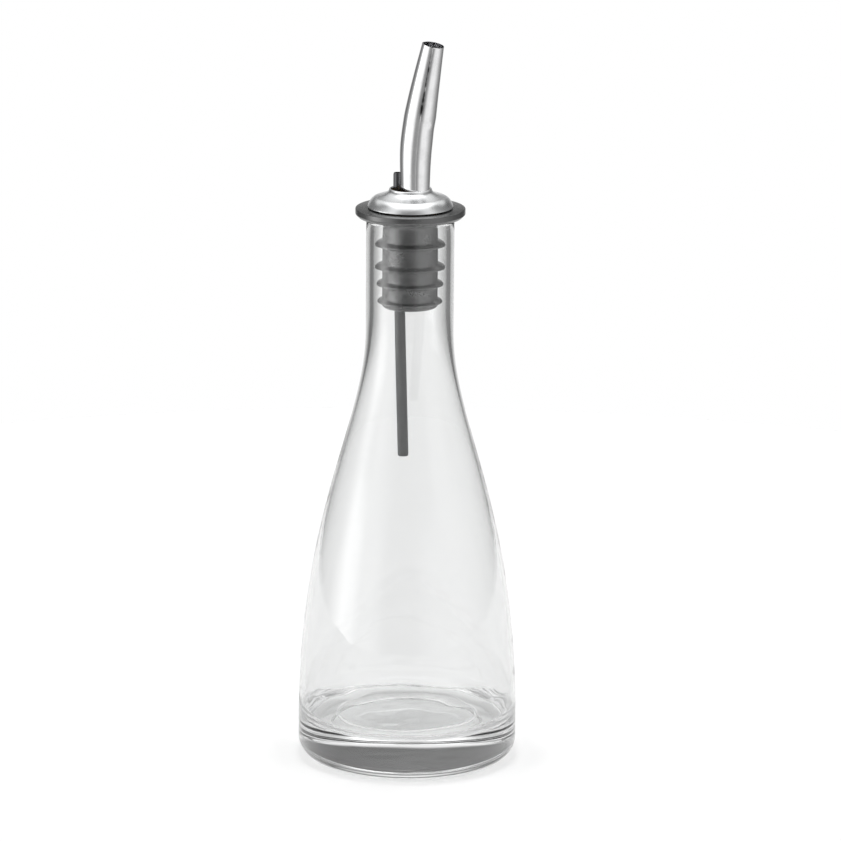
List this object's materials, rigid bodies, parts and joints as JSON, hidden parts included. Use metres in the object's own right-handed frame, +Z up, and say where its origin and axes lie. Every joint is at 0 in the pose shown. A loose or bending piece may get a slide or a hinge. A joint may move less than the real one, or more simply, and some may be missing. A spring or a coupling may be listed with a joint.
{
  "type": "glass oil bottle with pourer",
  "caption": "Tapered clear glass oil bottle with a ribbed plug and a bent steel pouring spout that lifts out and swivels.",
  "frame": {"origin": "centre of the bottle's underside, on the surface it stands on", "axes": "+Z up along the bottle's axis, +X the way the spout pours"},
  "size_m": [0.0646, 0.0646, 0.2142],
  "materials": {
    "clear_glass": "clear, fire polished",
    "grey_rubber": "satin moulded",
    "polished_steel": "polished",
    "dull_steel": "dull drawn tube",
    "braze_brass": "plain",
    "grey_plastic": "satin"
  },
  "bodies": {
    "bottle": {"glass_bottle": "clear_glass"},
    "stopper": {"ribbed_plug": "grey_rubber"},
    "pourer": {"shank_sleeve": "polished_steel", "tube_plate": "braze_brass", "collar_dome": "polished_steel", "spout_tube": "polished_steel", "vent_tube": "dull_steel", "breather_tube": "grey_plastic"}
  },
  "joints": [
    {"name": "stopper_lift", "type": "slide", "parent": "bottle", "child": "stopper", "axis": [0, 0, 1], "range_m": [0, 0.075]},
    {"name": "spout_swivel", "type": "hinge", "parent": "stopper", "child": "pourer", "pos_m": [0, 0, 0.1508], "axis": [0, 0, 1], "continuous": true}
  ]
}
